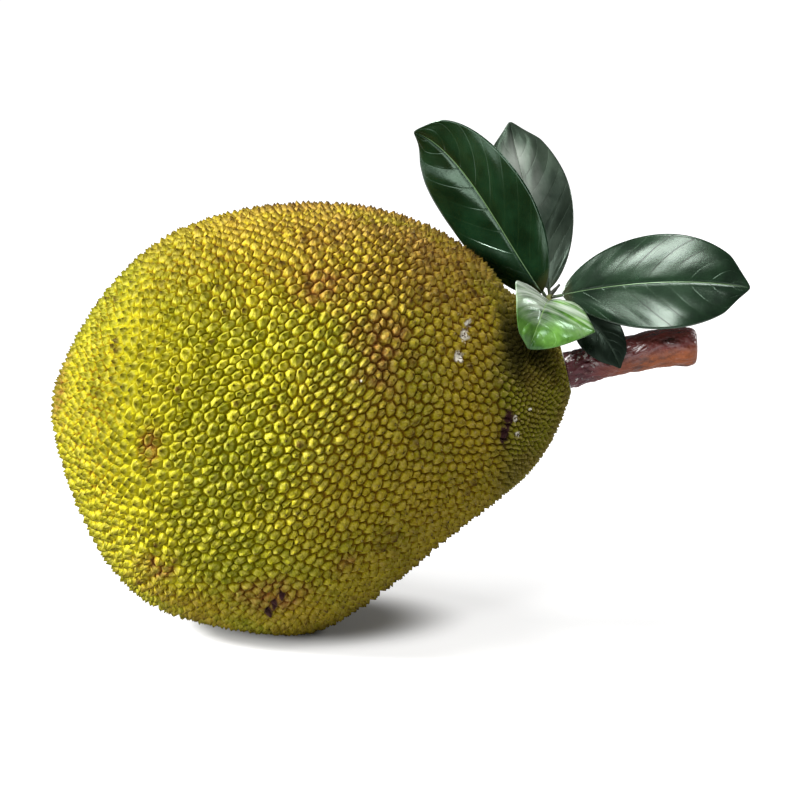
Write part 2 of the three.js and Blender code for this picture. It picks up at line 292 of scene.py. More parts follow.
def newMaterial(name, look):
    # an empty material, and the paint that fills it
    material = bpy.data.materials.new(name)
    material.use_nodes = True
    material.node_tree.nodes.clear()
    paint = Paint(material.node_tree, look)
    paint.place = paint.mask("ShaderNodeTexCoord", output="Object")
    return material, paint


def newGroup(name, inputs, outputs):
    # an empty node group, whose named inputs are vectors or numbers as their first values are
    group = bpy.data.node_groups.new(name, "ShaderNodeTree")
    for socket, value in inputs.items():
        kind = "NodeSocketVector" if isinstance(value, tuple) else "NodeSocketFloat"
        group.interface.new_socket(socket, in_out="INPUT", socket_type=kind).default_value = value
    for socket in outputs:
        group.interface.new_socket(socket, in_out="OUTPUT", socket_type="NodeSocketFloat")
    paint = Paint(group)
    given = {socket.name: Mask(paint, socket) for socket in paint.node("NodeGroupInput").outputs}
    return paint, given


def buildBlotchGroup():
    # mask = 1 inside an oval round Centre, falling to 0 over Edge, with a border that noise frays
    sockets = {
        "Vector": (0, 0, 0),
        "Centre": (0, 0, 0),
        "Size": (0.02, 0.02, 0.02),
        "Edge": 0.4,
        "Fray": 0.5,
        "Fray Scale": 90,
    }
    paint, given = newGroup("blotch", sockets, ["Mask"])
    away = paint.vector("SUBTRACT", given["Vector"], given["Centre"])
    distance = paint.vector("LENGTH", paint.vector("DIVIDE", away, given["Size"]))
    ragged = paint.noise((given["Fray Scale"], 3, 0.6), given["Vector"])
    shifted = (ragged - 0.5) * given["Fray"] + distance
    inside = shifted.ramp((1 - given["Edge"], 1, 1, 0), smooth=True)
    paint.node("NodeGroupOutput", {"Mask": inside})
    return paint.tree


blotchGroup = buildBlotchGroup()


rind = {
    "blossomX": -142.8,  # the outline through the spine tips: its end, length and series
    "length": 324.6,
    "girth": [126.2, 11.9, -7.3, -0.8, -1.9, -2, -1.3, 0.3],
    "rise": [140.9, -13.4, 4.1, 4.8, 1.3, -0.1, 2.3, -0.8],
    "depthShare": 0.985,
    # broad lumps: how high, waves round the fruit, waves along it, and where they start
    "lumps": [(1.4, 3, 2, 0), (0.98, 2, -5, 1)],
    "furrow": {  # between shoulder and neck: steep on the shoulder's side, wider on the neck's
        "place": 141.5,
        "before": 5.5,
        "frontDepth": 10,
        "frontAfter": 16,
        "backDepth": 5,
        "backAfter": 6,
        "under": 0.1,  # share of the depth left underneath
        "turn": (-0.4, 0.05),  # sines of the angle between which front gives way to back
        "fade": (0.2, 0.6),  # cosines of the angle between which it deepens
    },
    "belly": (19, 4.6, 36, 4),  # the underside's fullness: place, depth, width and how narrow round
    "restSpot": (18, 58, 0.25),  # spines grow from this share of their height between these radii
    "seat": (13.5, 24, 0.2),  # the same round the stalk
    "spines": 6600,
    "spineHeight": 5.6,
    "neckShare": 0.54,  # how large the neck's spines are, and over what length they change
    "neckFade": 14,
    "jitter": 0.32,  # how far a site strays, in steps of the spiral
    "evening": 0.62,  # how far each site moves to the middle of its cell afterwards
    "lean": 0.2,  # how far a tip leans over, in heights of its spine
    "uneven": 1.3,  # the most by which a spine is lower than its neighbours
    "rings": [(0.36, 0.66), (0.8, 0.22)],  # shares of the way down a spine, and of its height there
    "ringJitter": [(0.05, 0.03), (0.08, 0.07)],  # how far these stray
    "valleyJitter": (-0.5, 0.1),  # how much shallower or deeper a valley gets
    "outlineSteps": 6000,
    "nearSites": 16,  # how many neighbours a site's triangles are looked for among
}

stalk = {
    "path": [
        (177.4, 0, 162.6),
        (186.5, 0, 164.8),
        (201.9, -0.5, 169.2),
        (219.1, -0.5, 173.6),
        (237.7, 0.5, 176.9),
        (257.4, 0, 177.3),
    ],
    "radii": [11.4, 10.7, 10.9, 11.7, 12.2],
    "rings": 150,
    "sides": 96,
    "knurl": (0.5, (3, 14), (2, 23)),  # height, then two waves, each by its turns round and along
    "ridge": (0.4, 17, (6, 9), (5, 31)),  # height, turns round, their sway, then a second wave
    "grown": 0.1,  # share of the length over which both rise from the fruit's end
    "endRound": 4.6,  # how far the cut end's rim is rounded in, over the last share of the length
    "endShare": 0.07,
    "endRings": 26,
    "cutRings": [(0.86, 0.25), (0.5, 0.1), (0.2, 0.3)],  # share of the radius, and how far out
    "gap": 0.3,
}

# the stalk's first point, and its direction there from a second one just after it
stalkStart = smoothPath(stalk["path"], np.array([0, 0.0005]))
seatMiddle = stalkStart[0]
seatNormal = unit(stalkStart[1] - stalkStart[0])


def axisX(t):
    # x = blossomX + length (1 - cos t) / 2
    return rind["blossomX"] + rind["length"] * (1 - np.cos(t)) / 2


def radiusOf(t):
    # the sum of girth_k sin kt
    return sum(g * np.sin((k + 1) * t) for k, g in enumerate(rind["girth"]))


def furrowDepth(x, angle):
    # a bell along the fruit, whose depth and width go from front to back and from above to below
    furrow = rind["furrow"]
    behind = smoothStep(*furrow["turn"], np.sin(angle))
    above = blend(furrow["under"], 1, smoothStep(*furrow["fade"], np.cos(angle)))
    depth = above * blend(furrow["frontDepth"], furrow["backDepth"], behind)
    after = blend(furrow["frontAfter"], furrow["backAfter"], behind)
    return depth * bell(x, furrow["place"], np.where(x < furrow["place"], furrow["before"], after))


def formPoint(t, angle):
    # a circle round the middle line at each t, with broad lumps and a full underside
    x = axisX(t)
    place, depth, width, narrow = rind["belly"]
    lumps = sum(
        size * np.sin(turns * angle + steps * t + start) for size, turns, steps, start in rind["lumps"]
    )
    under = np.maximum(0, -np.cos(angle)) ** narrow * bell(x, place, width)
    radius = radiusOf(t) - furrowDepth(x, angle) + np.sin(t) * lumps * (1 - under) + depth * under
    middle = sum(r * np.cos(k * t) for k, r in enumerate(rind["rise"]))
    y = rind["depthShare"] * radius * np.sin(angle)
    return np.stack([x, y, middle + radius * np.cos(angle)], -1)


def formNormal(t, angle, step=1e-3):
    # the cross product of the form's two slopes
    t = np.clip(t, 2 * step, math.pi - 2 * step)
    dt = formPoint(t + step, angle) - formPoint(t - step, angle)
    da = formPoint(t, angle + step) - formPoint(t, angle - step)
    return unit(np.cross(dt, da))


def spineScale(x):
    # 1 on the body, neckShare on the neck
    half = rind["neckFade"] / 2
    place = rind["furrow"]["place"]
    return blend(1, rind["neckShare"], smoothStep(place - half, place + half, x))


def keptHeight(points):
    # less of a spine where the fruit rests and round the stalk
    kept = 1
    for centre, key in ((np.zeros(3), "restSpot"), (seatMiddle, "seat")):
        inner, outer, share = rind[key]
        away = np.linalg.norm(points - centre, axis=1)
        kept = kept * blend(share, 1, smoothStep(inner, outer, away))
    return kept


def pressed(points):
    # flat on the surface below, and flat on the stalk's seat
    points = points.copy()
    points[:, 2] = np.maximum(points[:, 2], 0)
    past = np.maximum(dot(points - seatMiddle, seatNormal), 0)
    return points - past * seatNormal


def outlineSums():
    # running sums over the outline of r ds / scale^2, for the count, and of ds / r, for the ball
    steps = rind["outlineSteps"]
    t = np.linspace(0, math.pi, steps + 1)
    ds = np.hypot(np.diff(axisX(t)), np.diff(radiusOf(t)))
    middle = (t[1:] + t[:-1]) / 2
    r = radiusOf(middle)
    fitted = np.concatenate([[0], np.cumsum(r * ds / spineScale(axisX(middle)) ** 2)])
    stretch = np.concatenate([[0], np.cumsum(ds / r)])
    return t, fitted, stretch - stretch[steps // 2]


def onBall(polar, angle):
    # (-cos p, sin p sin a, sin p cos a): the blossom end is at p = 0
    return np.stack([-np.cos(polar), np.sin(polar) * np.sin(angle), np.sin(polar) * np.cos(angle)], -1)


def ballTriangles(points, flat=1e-13, batches=8):
    # a triangle of neighbours is kept if no other near point rises above its plane
    near = rind["nearSites"]
    close = np.argpartition(-(points @ points.T), near, axis=1)[:, :near + 1]
    own = np.arange(len(points))
    close = close[close != own[:, None]].reshape(len(points), near)
    first, second = np.triu_indices(near, 1)
    found = []
    for rows in np.array_split(own, batches):
        around = points[close[rows]]
        centre = points[rows, None]
        normal = np.cross(around[:, first] - centre, around[:, second] - centre)
        normal *= np.sign(dot(normal, centre))
        above = np.einsum("npk,nmk->npm", normal, around) - dot(normal, centre)
        i, pair = np.nonzero(above.max(-1) < flat)
        found.append(np.stack([rows[i], close[rows[i], first[pair]], close[rows[i], second[pair]]], -1))
    triangles = np.unique(np.sort(np.vstack(found), axis=1), axis=0)
    a, b, c = points[triangles.T]
    inward = np.sum(np.cross(b - a, c - a) * a, axis=1) < 0
    triangles[inward] = triangles[inward][:, [0, 2, 1]]
    return triangles


def cellMiddles(sites, faces):
    # the mean, for each site, of the middles of the triangles that meet there
    middles = unit(sites[faces].sum(1))
    total = [np.bincount(faces.ravel(), np.repeat(values, 3), len(sites)) for values in middles.T]
    return unit(np.stack(total, -1))


def buildRind(material):
    # a blunt pyramid over each site of a jittered golden-angle spiral, whose foot is the ring of
    # middles of the triangles that meet there: foot + (valley - foot) share + normal height
    t, fitted, stretch = outlineSums()
    count = rind["spines"]
    order = np.arange(count)
    siteT = np.interp(fitted[-1] * (order + 0.5) / count, fitted, t)
    polar = 2 * np.arctan(np.exp(np.interp(siteT, t, stretch)))
    pitch = math.sqrt(2 * math.pi * fitted[-1] / count) * spineScale(axisX(siteT))
    shift = rind["jitter"] * pitch * np.sin(polar) / radiusOf(siteT)
    sites = unit(onBall(polar, order * goldenAngle) + shift[:, None] * random.uniform(-1, 1, (count, 3)))
    middles = cellMiddles(sites, ballTriangles(sites))
    sites = unit(blend(sites, middles, rind["evening"]))

    def offBall(v, margin=1e-9):
        # the t and the angle of a direction, from its polar angle's place in the running sum
        v = unit(v)
        polar = np.arccos(np.clip(-v[:, 0], -1 + margin, 1 - margin))
        return np.interp(np.log(np.tan(polar / 2)), stretch, t), np.arctan2(v[:, 1], v[:, 2])

    faces = ballTriangles(sites)
    print("rind cells:", len(faces), "of", 2 * count - 4)

    place = offBall(sites)
    outward = formNormal(*place)
    top = formPoint(*place)
    scale = spineScale(top[:, 0]) * keptHeight(top)
    height = rind["spineHeight"] * scale
    lean = random.uniform(-1, 1, (count, 3))
    lean -= dot(lean, outward) * outward
    lean *= (rind["lean"] * height)[:, None]
    foot = top - outward * height[:, None]
    tall = height - rind["uneven"] * random.random(count) * scale
    tips = foot + outward * tall[:, None] + lean

    valleyPlace = offBall(sites[faces].sum(1))
    valleyTop = formPoint(*valleyPlace)
    depth = rind["spineHeight"] + random.uniform(*rind["valleyJitter"], len(faces))
    depth = depth * spineScale(valleyTop[:, 0]) * keptHeight(valleyTop)
    valleys = valleyTop - formNormal(*valleyPlace) * depth[:, None]

    # each corner of a triangle belongs to one spine, and `after` is the next corner round it
    corner = np.arange(faces.size)
    site = faces.ravel()
    key = site * count + faces[:, [1, 2, 0]].ravel()
    back = faces[:, [1, 2, 0]].ravel() * count + site
    ranked = np.argsort(key)
    twin = ranked[np.searchsorted(key[ranked], back)]
    after = 3 * (twin // 3) + (twin % 3 + 1) % 3
    ringPoints, ringLevels = [], []
    for (share, level), (shareSpread, levelSpread) in zip(rind["rings"], rind["ringJitter"]):
        share = share + shareSpread * random.uniform(-1, 1, faces.size)
        level = level + levelSpread * random.uniform(-1, 1, faces.size)
        ground = blend(foot[site], valleys[corner // 3], share[:, None])
        raised = outward[site] * (tall[site] * level)[:, None]
        ringPoints.append(ground + raised + lean[site] * level[:, None])
        ringLevels.append(level)
    ring1 = count + corner
    ring2 = ring1 + faces.size
    ring2Start, valleyStart = count + faces.size, count + 2 * faces.size
    valley = valleyStart + corner // 3
    g1, g2, gv = ring1[after], ring2[after], valley[after]
    triangles = np.vstack([
        np.stack([site, g1, ring1], -1),
        np.stack([g1, g2, ring2], -1),
        np.stack([g1, ring2, ring1], -1),
        np.stack([g2, gv, valley], -1),
        np.stack([g2, valley, ring2], -1),
    ])
    points = pressed(np.vstack([tips, *ringPoints, valleys]))
    tone = random.random(count)
    fields = {
        "level": np.concatenate([np.ones(count), *ringLevels, np.zeros(len(faces))]),
        "tone": np.concatenate([tone, tone[site], tone[site], np.full(len(faces), 0.5)]),
        "fleck": random.random(len(points)),
    }

    def creased(ends):
        # edges along the valley floors, and those that run down each spine's ribs
        low, high = ends.min(axis=1), ends.max(axis=1)
        spokes = low < count
        ribs = (low >= count) & (high - low == faces.size) & (high < valleyStart)
        feet = (low >= ring2Start) & (high == valleyStart + (low - ring2Start) // 3)
        return (low >= valleyStart) | spokes | ribs | feet

    return makePiece("jackfruitRind", points, triangles, material, "fruit", fields, sharp=creased)


rindLook = {
    # pale grooves towards the blossom end, where the light falls into them, and darker olive ones
    # further along: painted light and painted shade; the darker colour also makes the fine dark flecks
    "paintedLitGroove": (0.66, 0.60, 0.035),
    "greenGroove": (0.20, 0.175, 0.002),
    "cream": (0.70, 0.64, 0.18),
    "ripeCream": (0.64, 0.50, 0.17),
    "ripeGroove": (0.23, 0.13, 0.008),
    "yellow": (0.68, 0.62, 0.009),
    "green": (0.25, 0.28, 0.004),
    "ripe": (0.56, 0.44, 0.014),
    "olive": (0.14, 0.12, 0.014),
    "tan": (0.46, 0.235, 0.05),
    "rust": (0.36, 0.155, 0.032),
    "rustGroove": (0.14, 0.048, 0.012),
    "scar": (0.045, 0.016, 0.018),
    "latex": (0.96, 0.92, 0.80),
    "tipGreen": (0.13, 0.12, 0.002),
    "tipBrown": (0.14, 0.068, 0.015),
    "shade": (0.014, 0.014, 0.004),
    "oddSpine": (0.075, 0.03, 0.010),
    "tipDot": (0.05, 0.032, 0.006),
    # on the neck: pale spine tips as painted highlight and dark grooves as painted shade, for the
    # contrast its dim light does not give
    "neckTip": (0.44, 0.37, 0.12),
    "paintedNeckShade": (0.055, 0.042, 0.008),
    "specular": 0.06,
    "specularTint": (1, 0.95, 0.5),
    "bump": (0.7, 0.0028),
    "noises": {  # scale, detail and roughness
        "broad": (9, 3, 0.55),
        "patchy": (32, 3, 0.6),
        "fine": (420, 4, 0.65),
        "mossy": (24, 2, 0.5),
        "rusty": (110, 2, 0.5),
        "crumbs": (600, 2, 0.5),
    },
    # how much of each goes into the choice between green and yellow
    "toneBySpine": 0.25,
    "toneByFleck": 0.25,
    "toneByPlace": 1.2,
    "upperSlope": 0.4,  # how much the riper top leans towards the stalk
    "ripeDrift": 1.2,
    "neckFray": 0.03,  # how far the borders of the neck and of the green grooves wander, in metres
    "grooveFray": 0.12,
    "neckShare": 0.85,
    "neckFade": 0.8,
    "grain": 0.9,  # how much the fine grain shifts a spine's rings up and down, and its own middle
    "grainMiddle": 0.45,
    "oddTurns": 17,  # each spine's tone times this, less whole turns, picks the brown spines
    "dotTurns": 9,
    "oddUpper": 0.14,  # how much more often they stand near the top
    "shadeShare": 0.85,
    "scarGloss": 0.2,
    # from low to high, and what these become where that isn't 0 and 1: along the fruit (X), by
    # height (Z), by noise, or up a spine
    "ramps": {
        "blossomTone": (-0.11, 0.03, 0.12, -0.16),
        "topTone": (-0.06, 0, -0.3, 0.2),
        "topward": (0.17, 0.23),
        "yellowing": (0.6, 1.05),
        "upper": (0.18, 0.285),
        "stalkward": (-0.02, 0.13),
        "lowest": (0.075, 0.03, 0, 0.8),
        "lowestPatches": (0.35, 0.55),
        "ripening": (0.15, 0.75, 0, 0.8),
        "tanTop": (0.45, 1),
        "tanPatches": (0.36, 0.6, 0, 0.85),
        "neck": (0.122, 0.142),
        "mossy": (0.5, 0.62, 0, 0.6),
        "rusty": (0.35, 0.55, 0.4, 1),
        "blossomward": (-0.085, -0.12),
        "blossomPatches": (0.3, 0.5),
        "ripeGrooves": (0.05, 0.5),
        "topDrift": (0.18, 0.24, 0, 0.04),
        "greenGrooves": (-0.1, -0.045),
        "topGrooves": (0.35, 0.8, 0, 0.75),
        "bandStart": (0.24, 0.4),
        "bandEnd": (0.55, 0.85, 1, 0),
        "bandFlecks": (0, 1, 0.05, 0.6),
        "ripeCream": (0.15, 0.75),
        "grooveRim": (0.08, 0.34),
        "tipShare": (-0.085, -0.03, 0.82, 0.62),
        "topTips": (0.35, 0.85, 0.5, 0.9),
        "coreWidth": (-0.085, -0.02, 0.22, 0.09),
        "core": (0.5, 0.9),
        "ripeTips": (0.2, 0.8),
        "oddPick": (0.82, 0.9),
        "oddPatches": (0.52, 0.6),
        "oddHeight": (0.2, 0.8, 0.2, 0.9),
        "dotPick": (0, 0.6),
        "dotHeight": (0.78, 0.96),
        "neckTips": (0.5, 0.95, 0, 0.8),
        "grainShade": (0.3, 0.7, 0, 0.5),
        "darkFlecks": (0.47, 0.34, 0, 0.38),
        "paleFlecks": (0.56, 0.68, 0, 0.6),
        "paleReach": (0, 1, 0.3, 1),
        "crumbs": (0.38, 0.46),
        "roughness": (0.3, 0.7, 0.48, 0.68),
    },
    # the softness of the borders, the scale of their noise, then the centre and size of each mark
    # in metres, and how ragged its border is
    "rustMarks": (0.8, 60, [
        ((-0.071, -0.114, 0.138), (0.011, 0.030, 0.016), 1.4),
        ((0.064, -0.109, 0.195), (0.027, 0.040, 0.036), 1.8),
        ((0.0305, -0.092, 0.231), (0.024, 0.040, 0.020), 1.8),
        ((-0.074, -0.093, 0.059), (0.018, 0.030, 0.013), 1.8),
        ((-0.002, -0.099, 0.042), (0.030, 0.036, 0.024), 1.8),
        ((0.044, -0.108, 0.062), (0.016, 0.030, 0.014), 1.8),
        ((-0.136, -0.014, 0.162), (0.014, 0.060, 0.045), 2),
    ]),
    "shadeMarks": (0.7, 60, [
        ((0.146, -0.045, 0.194), (0.016, 0.050, 0.042), 0.8),
        ((0.160, -0.045, 0.186), (0.018, 0.050, 0.026), 0.8),
    ]),
    "scarMarks": (0.5, 200, [
        ((0.0040, -0.100, 0.0445), (0.0034, 0.020, 0.0042), 1.6),
        ((-0.0005, -0.094, 0.0370), (0.0030, 0.020, 0.0050), 1.6),
        ((-0.0045, -0.085, 0.0290), (0.0036, 0.020, 0.0065), 1.6),
        ((0.1390, -0.062, 0.1450), (0.0036, 0.020, 0.0080), 2.4),
        ((0.1375, -0.063, 0.1350), (0.0042, 0.020, 0.0090), 2.4),
    ]),
    "latexMarks": (0.5, 200, [
        ((0.1150, -0.076, 0.204), (0.0034, 0.012, 0.0036), 1.8),
        ((0.1128, -0.076, 0.198), (0.0030, 0.012, 0.0060), 1.8),
        ((0.1096, -0.086, 0.186), (0.0040, 0.012, 0.0044), 1.8),
        ((0.1439, -0.059, 0.1437), (0.0016, 0.012, 0.0024), 1.4),
        ((0.1453, -0.056, 0.1335), (0.0020, 0.012, 0.0022), 1.4),
        ((0.1531, -0.053, 0.1479), (0.0014, 0.012, 0.0012), 1.4),
        ((0.0522, -0.119, 0.1773), (0.0012, 0.012, 0.0012), 1.4),
    ]),
}


def buildRindMaterial():
    # grooves dark, flanks from green to yellow by spine and by broad noise, then marks over them
    look = rindLook
    material, skin = newMaterial("rindSkin", look)
    level, tone, fleck = (skin.attribute(name) for name in ("level", "tone", "fleck"))
    x, z = skin.apart(skin.place, "X", "Z")
    broad, patchy, fine = (skin.noise(name) for name in ("broad", "patchy", "fine"))
    yellowness = tone * look["toneBySpine"] + broad * look["toneByPlace"] + fleck * look["toneByFleck"]
    yellowness = yellowness + x.ramp("blossomTone") + z.ramp("topward") * x.ramp("topTone")
    rugged = fine * look["grain"] + (level - look["grainMiddle"])

    # riper and browner along the top, towards the stalk and, in patches, underneath
    upper = (x * look["upperSlope"] + z).ramp("upper")
    stalkward = x.ramp("stalkward")
    ripe = upper.larger(stalkward).larger(z.ramp("lowest") * patchy.ramp("lowestPatches"))
    ripe = (broad - 0.5) * look["ripeDrift"] + ripe
    neck = ((patchy - 0.5) * look["neckFray"] + x).ramp("neck", smooth=True)
    rust = skin.marks("rustMarks") * skin.noise("rusty").ramp("rusty")

    # paler round the shoulder of each spine than on its top
    band = rugged.ramp("bandStart") * rugged.ramp("bandEnd") * fleck.ramp("bandFlecks")
    cream = skin.mix(ripe.ramp("ripeCream"), "cream", "ripeCream")
    flank = skin.mix(yellowness.ramp("yellowing"), "green", "yellow").layers(
        ("ripe", ripe.ramp("ripening")),
        ("tan", upper.ramp("tanTop") * patchy.ramp("tanPatches")),
        ("olive", neck * look["neckShare"]),
        ("green", skin.noise("mossy").ramp("mossy") * stalkward),
        ("rust", rust),
        (cream, band * (1 - neck * look["neckFade"])),
    )

    # brown between the spines where it is ripe or rusty, and at the blossom end
    blossomward = x.ramp("blossomward") * patchy.ramp("blossomPatches")
    # the grooves pale towards the blossom end, where the light falls, and darker olive further along:
    # painted light and painted shade
    drift = (patchy - 0.5) * look["grooveFray"] + (x + z.ramp("topDrift"))
    groove = skin.mix(drift.ramp("greenGrooves"), "paintedLitGroove", "greenGroove").layers(
        ("ripeGroove", ripe.larger(rust).larger(blossomward).ramp("ripeGrooves")),
        ("rustGroove", upper.ramp("topGrooves")),
        ("rustGroove", rust),
        # the neck's grooves darkened: painted shade
        ("paintedNeckShade", neck * look["neckFade"]),
    )

    # tips darker than the flanks, most of all away from the stalk, and a few brown spines
    core = (rugged + x.ramp("coreWidth")).ramp("core")
    tipShare = x.ramp("tipShare").larger(upper.ramp("topTips")) * core * (1 - neck)
    odd = (tone * look["oddTurns"]).maths("FRACT").ramp("oddPick")
    odd = odd * (upper * look["oddUpper"] + patchy).ramp("oddPatches")
    dotted = (tone * look["dotTurns"]).maths("FRACT").ramp("dotPick")
    spined = groove.layers(
        (flank, rugged.ramp("grooveRim")),
        (skin.mix(ripe.ramp("ripeTips"), "tipGreen", "tipBrown"), tipShare),
        ("oddSpine", odd * rugged.ramp("oddHeight")),
        ("tipDot", dotted * rugged.ramp("dotHeight", smooth=True)),
        # the neck's spine tips paled: painted highlight
        ("neckTip", neck * rugged.ramp("neckTips")),
    )

    # fine grain, then the shade under the young leaf, the scars and the dried latex
    scar, latex = skin.marks("scarMarks"), skin.marks("latexMarks")
    surface = spined.cover("olive", fine.ramp("grainShade"), "SOFT_LIGHT").layers(
        ("greenGroove", fine.ramp("darkFlecks")),
        (cream, fine.ramp("paleFlecks") * stalkward.ramp("paleReach")),
        ("shade", skin.marks("shadeMarks") * look["shadeShare"]),
        ("scar", scar),
        ("oddSpine", latex),
        ("latex", latex * skin.noise("crumbs").ramp("crumbs")),
    )
    skin.finish({
        "Base Color": surface,
        "Roughness": fine.ramp("roughness") - scar * look["scarGloss"],
        "Specular IOR Level": look["specular"],
        "Specular Tint": look["specularTint"],
        "Normal": skin.bump(fine),
    })
    return material


def buildStalk(material):
    # r = path radius + knurls + ridges, less the rounding 1 - sqrt(1 - w^2) over the end's share w
    rings, share = stalk["rings"], stalk["endShare"]
    shrinks, raises = np.array(stalk["cutRings"]).T
    body = np.linspace(0, 1 - share, rings - stalk["endRings"], endpoint=False)
    end = 1 - share * (1 - np.sin(np.linspace(0, math.pi / 2, stalk["endRings"])))
    u = np.concatenate([body, end, np.ones(len(shrinks))])
    shrink = np.concatenate([np.ones(rings), shrinks])[:, None]
    even = np.linspace(0, 1, rings)
    slopes = slopesOf(smoothPath(stalk["path"], even))
    along = unit(np.stack([np.interp(u, even, values) for values in slopes.T], -1))
    centres = smoothPath(stalk["path"], u) + seatNormal * stalk["gap"]
    centres[rings:] += along[-1] * raises[:, None]

    def radii(w):
        # each term over a grid of the length by the angle
        radius = np.interp(u, np.linspace(0, 1, len(stalk["radii"])), stalk["radii"])[:, None]
        grown = smoothStep(0, stalk["grown"], u)[:, None]
        height, first, second = stalk["knurl"]
        knurls = height * wave(*first, w, u) * wave(*second, w, u)
        height, turns, (sway, swayTurns), second = stalk["ridge"]
        bent = sway * np.sin(swayTurns * u[:, None])
        ridges = height * np.sin(turns * w[None] + bent) * wave(*second, w, u)
        past = np.clip((u - 1 + share) / share, 0, 1)[:, None]
        rounding = stalk["endRound"] * (1 - np.sqrt(1 - past ** 2))
        return (radius + (knurls + ridges) * grown - rounding) * shrink

    points, triangles = tubeAlong(centres, along, radii, stalk["sides"])
    cut = np.zeros(len(points))
    cut[rings * stalk["sides"]:-2] = 1
    cut[-1] = 1
    return makePiece("cutStalk", points, triangles, material, "stalk", {"cut": cut})


stalkLook = {
    "maroon": (0.13, 0.018, 0.028),
    "brown": (0.34, 0.085, 0.018),
    "dark": (0.03, 0.006, 0.008),
    "pale": (0.55, 0.30, 0.25),
    "speck": (0.80, 0.72, 0.70),
    "cutWood": (0.30, 0.10, 0.04),
    # the height of the stalk's middle, its rise along X, and the X where that height is
    "middle": (0.174, 0.17, 0.239),
    "stretch": (0.5, 1, 1),
    "wander": 0.012,  # how far the damp upper side's border wanders
    "dryShare": 0.8,
    "coat": (0.85, 0.1),  # what the upper side adds to the gloss, and the gloss below
    "coatRoughness": 0.12,
    "heights": (0.25, 0.6),  # shares of the grain and the lumps in the relief
    "bump": (0.9, 0.003),
    "noises": {
        "grain": (420, 5, 0.7),
        "knobs": (130, 3, 0.6),
        "blots": (80, 3, 0.6),
        "lumps": (320, 2, 0.5),
    },
    "ramps": {
        "upside": (-0.001, 0.005),
        "outer": (0.19, 0.225),
        "cracks": (0.32, 0.48, 0.8, 0),
        "scuffs": (0.58, 0.72, 0, 0.4),
        "specks": (0.6, 0.66),
        "speckReach": (0.186, 0.2, 0.9, 0),
        "roughness": (0, 1, 0.5, 0.22),
    },
}


def buildStalkMaterial():
    # maroon near the fruit, warm brown towards the cut end, with dark cracks, pale scuffs and damp gloss
    look = stalkLook
    material, bark = newMaterial("stalkBark", look)
    x, z = bark.apart(bark.place, "X", "Z")
    stretched = bark.mask("ShaderNodeMapping", {"Vector": bark.place, "Scale": look["stretch"]})
    grain = bark.noise("grain", stretched)
    knobs = bark.noise("knobs", stretched)
    blots = bark.noise("blots")
    lumps = bark.noise("lumps")
    level, rise, levelAt = look["middle"]
    above = z - (x * rise + (level - rise * levelAt))
    upside = ((blots - 0.5) * look["wander"] + above).ramp("upside")
    outer = x.ramp("outer") * (1 - upside * look["dryShare"])
    surface = bark.mix(outer, "maroon", "brown").layers(
        ("dark", knobs.ramp("cracks")),
        ("pale", grain.ramp("scuffs")),
        ("speck", lumps.ramp("specks") * x.ramp("speckReach")),
        ("cutWood", bark.attribute("cut")),
    )
    grainShare, lumpShare = look["heights"]
    damp, dry = look["coat"]
    bark.finish({
        "Base Color": surface,
        "Roughness": upside.ramp("roughness"),
        "Coat Weight": upside * damp + dry,
        "Coat Roughness": look["coatRoughness"],
        "Normal": bark.bump(grain * grainShare + (lumps * lumpShare + knobs)),
    })
    return material


twig = {
    "path": [
        (194, 2, 172),
        (188, 3, 184),
        (178.5, 4, 194),
        (169, 4, 202),
        (166.5, 3.5, 207),
        (173, 3, 216),
    ],
    "radii": [3.4, 3.1, 2.7, 2.6, 1.9, 0.7],
    "rings": 90,
    "sides": 28,
    "start": 0.06,  # share of the path that is inside the stalk
    "swellings": (0.05, 70, (0.1, 0.3)),  # share of the radius, count, and where they come in
    "twist": (0.03, (5, 11)),  # share of the radius, and its waves round and along
}


def buildTwig(material):
    # r = path radius, with small swellings where the leaves join
    u = np.linspace(twig["start"], 1, twig["rings"])
    centres = smoothPath(twig["path"], u)
    radius = np.interp(u, np.linspace(0, 1, len(twig["radii"])), twig["radii"])
    swelling, count, comingIn = twig["swellings"]
    radius = radius * (1 + swelling * np.sin(count * u) * smoothStep(*comingIn, u))
    twist, waves = twig["twist"]

    def radii(w):
        # the radius at each place, with the twist on it
        return radius[:, None] * (1 + twist * wave(*waves, w, u))

    points, triangles = tubeAlong(centres, slopesOf(centres), radii, twig["sides"])
    return makePiece("leafyTwig", points, triangles, material, "twig")


twigLook = {
    "green": (0.16, 0.19, 0.05),
    "brown": (0.09, 0.055, 0.025),
    "pale": (0.45, 0.5, 0.17),
    "bud": (0.02, 0.022, 0.01),
    "bump": (0.4, 0.0005),
    "noises": {"grain": (500, 4, 0.6)},
    "ramps": {
        "young": (0.176, 0.2),
        "joint": (0.2, 0.206, 0, 0.8),
        "cracks": (0.35, 0.6, 0.5, 0),
        "bud": (0.2085, 0.2105),
        "roughness": (0.3, 0.7, 0.4, 0.6),
    },
}


def buildTwigMaterial():
    # green bark, brown towards the stalk and paler at the joint of the leaves
    material, bark = newMaterial("twigBark", twigLook)
    [z] = bark.apart(bark.place, "Z")
    grain = bark.noise("grain")
    surface = bark.mix(z.ramp("young", smooth=True), "brown", "green").layers(
        ("pale", z.ramp("joint", smooth=True)),
        ("brown", grain.ramp("cracks")),
        ("bud", z.ramp("bud", smooth=True)),
    )
    bark.finish({
        "Base Color": surface,
        "Roughness": grain.ramp("roughness"),
        "Normal": bark.bump(grain),
    })
    return material


